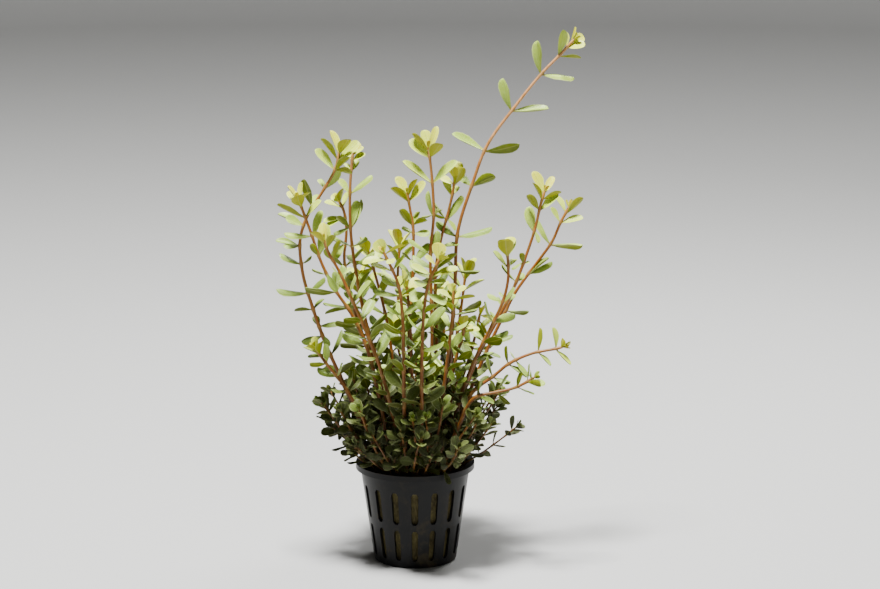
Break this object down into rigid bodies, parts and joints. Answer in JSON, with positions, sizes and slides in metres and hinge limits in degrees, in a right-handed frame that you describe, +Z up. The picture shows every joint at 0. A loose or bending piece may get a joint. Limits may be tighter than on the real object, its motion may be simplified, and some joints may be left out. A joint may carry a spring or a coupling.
{
  "type": "potted laos dwarf rotala",
  "caption": "Bushy potted aquarium stem plant: thin reddish stems with pairs of small oval green leaves, rooted in mineral wool in a black slotted pot.",
  "frame": {"origin": "centre of the pot's underside, on the surface it stands on", "axes": "+Z up, +X to the right in the picture, -Y towards the viewer"},
  "size_m": [0.1383, 0.0958, 0.2402],
  "materials": {
    "pot": "satin",
    "wool": "matte",
    "shoot": "satin"
  },
  "bodies": {
    "root": {"pot": "pot", "shoot_back_edge": "shoot", "shoot_back_far": "shoot", "shoot_back_left": "shoot", "shoot_back_mid": "shoot", "shoot_back_right": "shoot", "shoot_centre_back": "shoot", "shoot_centre_front": "shoot", "shoot_centre_high": "shoot", "shoot_centre_lean": "shoot", "shoot_centre_left": "shoot", "shoot_centre_right": "shoot", "shoot_cross": "shoot", "shoot_left_back": "shoot", "shoot_left_front": "shoot", "shoot_left_inner": "shoot", "shoot_left_mid": "shoot", "shoot_left_outer": "shoot", "shoot_left_rear": "shoot", "shoot_left_stub": "shoot", "shoot_low_01": "shoot", "shoot_low_02": "shoot", "shoot_low_03": "shoot", "shoot_low_04": "shoot", "shoot_low_05": "shoot", "shoot_low_06": "shoot", "shoot_low_07": "shoot", "shoot_low_08": "shoot", "shoot_low_09": "shoot", "shoot_low_10": "shoot", "shoot_low_11": "shoot", "shoot_low_12": "shoot", "shoot_low_13": "shoot", "shoot_low_14": "shoot", "shoot_right_bud": "shoot", "shoot_right_inner": "shoot", "shoot_right_outer": "shoot", "shoot_right_short": "shoot", "shoot_right_stub": "shoot", "shoot_side_low": "shoot", "shoot_side_right": "shoot", "shoot_tall": "shoot", "wool": "wool"}
  },
  "joints": []
}
